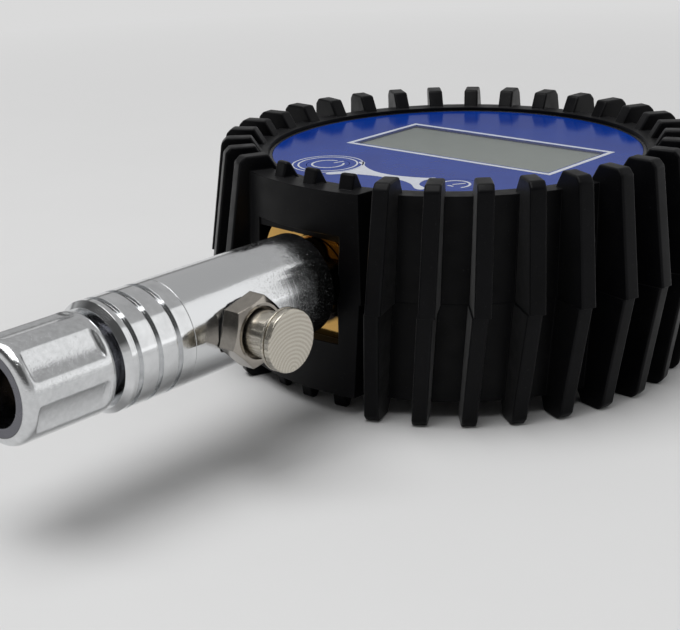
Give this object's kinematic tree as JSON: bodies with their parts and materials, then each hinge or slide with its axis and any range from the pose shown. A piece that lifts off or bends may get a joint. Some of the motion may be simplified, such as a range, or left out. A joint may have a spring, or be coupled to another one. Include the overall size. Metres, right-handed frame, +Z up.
{
  "type": "tyre inflator gauge",
  "caption": "Round digital tyre pressure gauge in a ribbed rubber boot, with a chrome stem, a bleed valve with a press disc, and a swivelling fluted grip with a hose inlet.",
  "frame": {"origin": "axis of the round gauge on the surface that its back rests on", "axes": "+Z up through the face, -Y along the stem to the hose inlet, +X towards the bleed valve's disc"},
  "size_m": [0.08, 0.1319, 0.0361],
  "materials": {
    "rubber": "matte moulded",
    "case": "fine texture",
    "case_rim": "smooth",
    "face": "gloss film",
    "pane": "clear",
    "lcd": "grey display",
    "frame": "moulded",
    "strip": "elastic contact",
    "board": "solder mask",
    "switch": "moulded",
    "sensor": "can",
    "seal": "nitrile",
    "brass": "machined",
    "cell": "sleeve",
    "contact": "nickel plated",
    "cover": "fine texture",
    "screw": "zinc plated",
    "chrome": "satin chrome",
    "nickel": "bright nickel",
    "dark_steel": "blackened",
    "spring": "wire",
    "filter": "sintered"
  },
  "bodies": {
    "gauge": {"rubber_boot": "rubber", "rear_case": "case", "front_case": "case_rim", "face_overlay": "face", "display_window": "pane", "display_module": "lcd", "display_carrier": "frame", "contact_strip_front": "strip", "contact_strip_back": "strip", "circuit_board": "board", "power_switch": "switch", "unit_switch": "switch", "pressure_sensor": "sensor", "sensor_seal": "seal", "brass_manifold": "brass", "manifold_nut": "brass", "battery_left": "cell", "battery_right": "cell", "contact_plate_left": "contact", "contact_plate_right": "contact", "battery_cover": "cover", "cover_screw": "screw", "case_screw_1": "screw", "case_screw_2": "screw", "case_screw_3": "screw", "case_screw_4": "screw", "stem_body": "chrome", "neck_ring": "brass", "stem_oring": "seal", "valve_body": "nickel", "valve_washer": "seal", "bleed_spring": "spring", "grooved_collar": "chrome", "swivel_washer": "filter"},
    "plunger": {"bleed_plunger": "nickel", "bleed_poppet": "brass", "poppet_seal": "seal"},
    "swivel": {"swivel_spigot": "dark_steel", "swivel_oring_front": "seal", "swivel_oring_back": "seal", "grip_sleeve": "chrome", "inlet_filter": "filter", "inlet_washer": "seal"},
    "power_key": {"power_button": "face"},
    "unit_key": {"unit_button": "face"}
  },
  "joints": [
    {"name": "bleed_press", "type": "slide", "parent": "gauge", "child": "plunger", "axis": [-1, 0, 0], "range_m": [0, 0.002], "stiffness_N_per_m": 1200, "springref_m": -0.001, "deforming": ["bleed_spring"]},
    {"name": "grip_swivel", "type": "hinge", "parent": "gauge", "child": "swivel", "pos_m": [0, -0.0779, 0.0202], "axis": [0, -1, 0], "continuous": true},
    {"name": "power_press", "type": "slide", "parent": "gauge", "child": "power_key", "axis": [0, 0, -1], "range_m": [0, 0.0004], "stiffness_N_per_m": 2000, "springref_m": -0.0001},
    {"name": "unit_press", "type": "slide", "parent": "gauge", "child": "unit_key", "axis": [0, 0, -1], "range_m": [0, 0.0004], "stiffness_N_per_m": 2000, "springref_m": -0.0001}
  ]
}
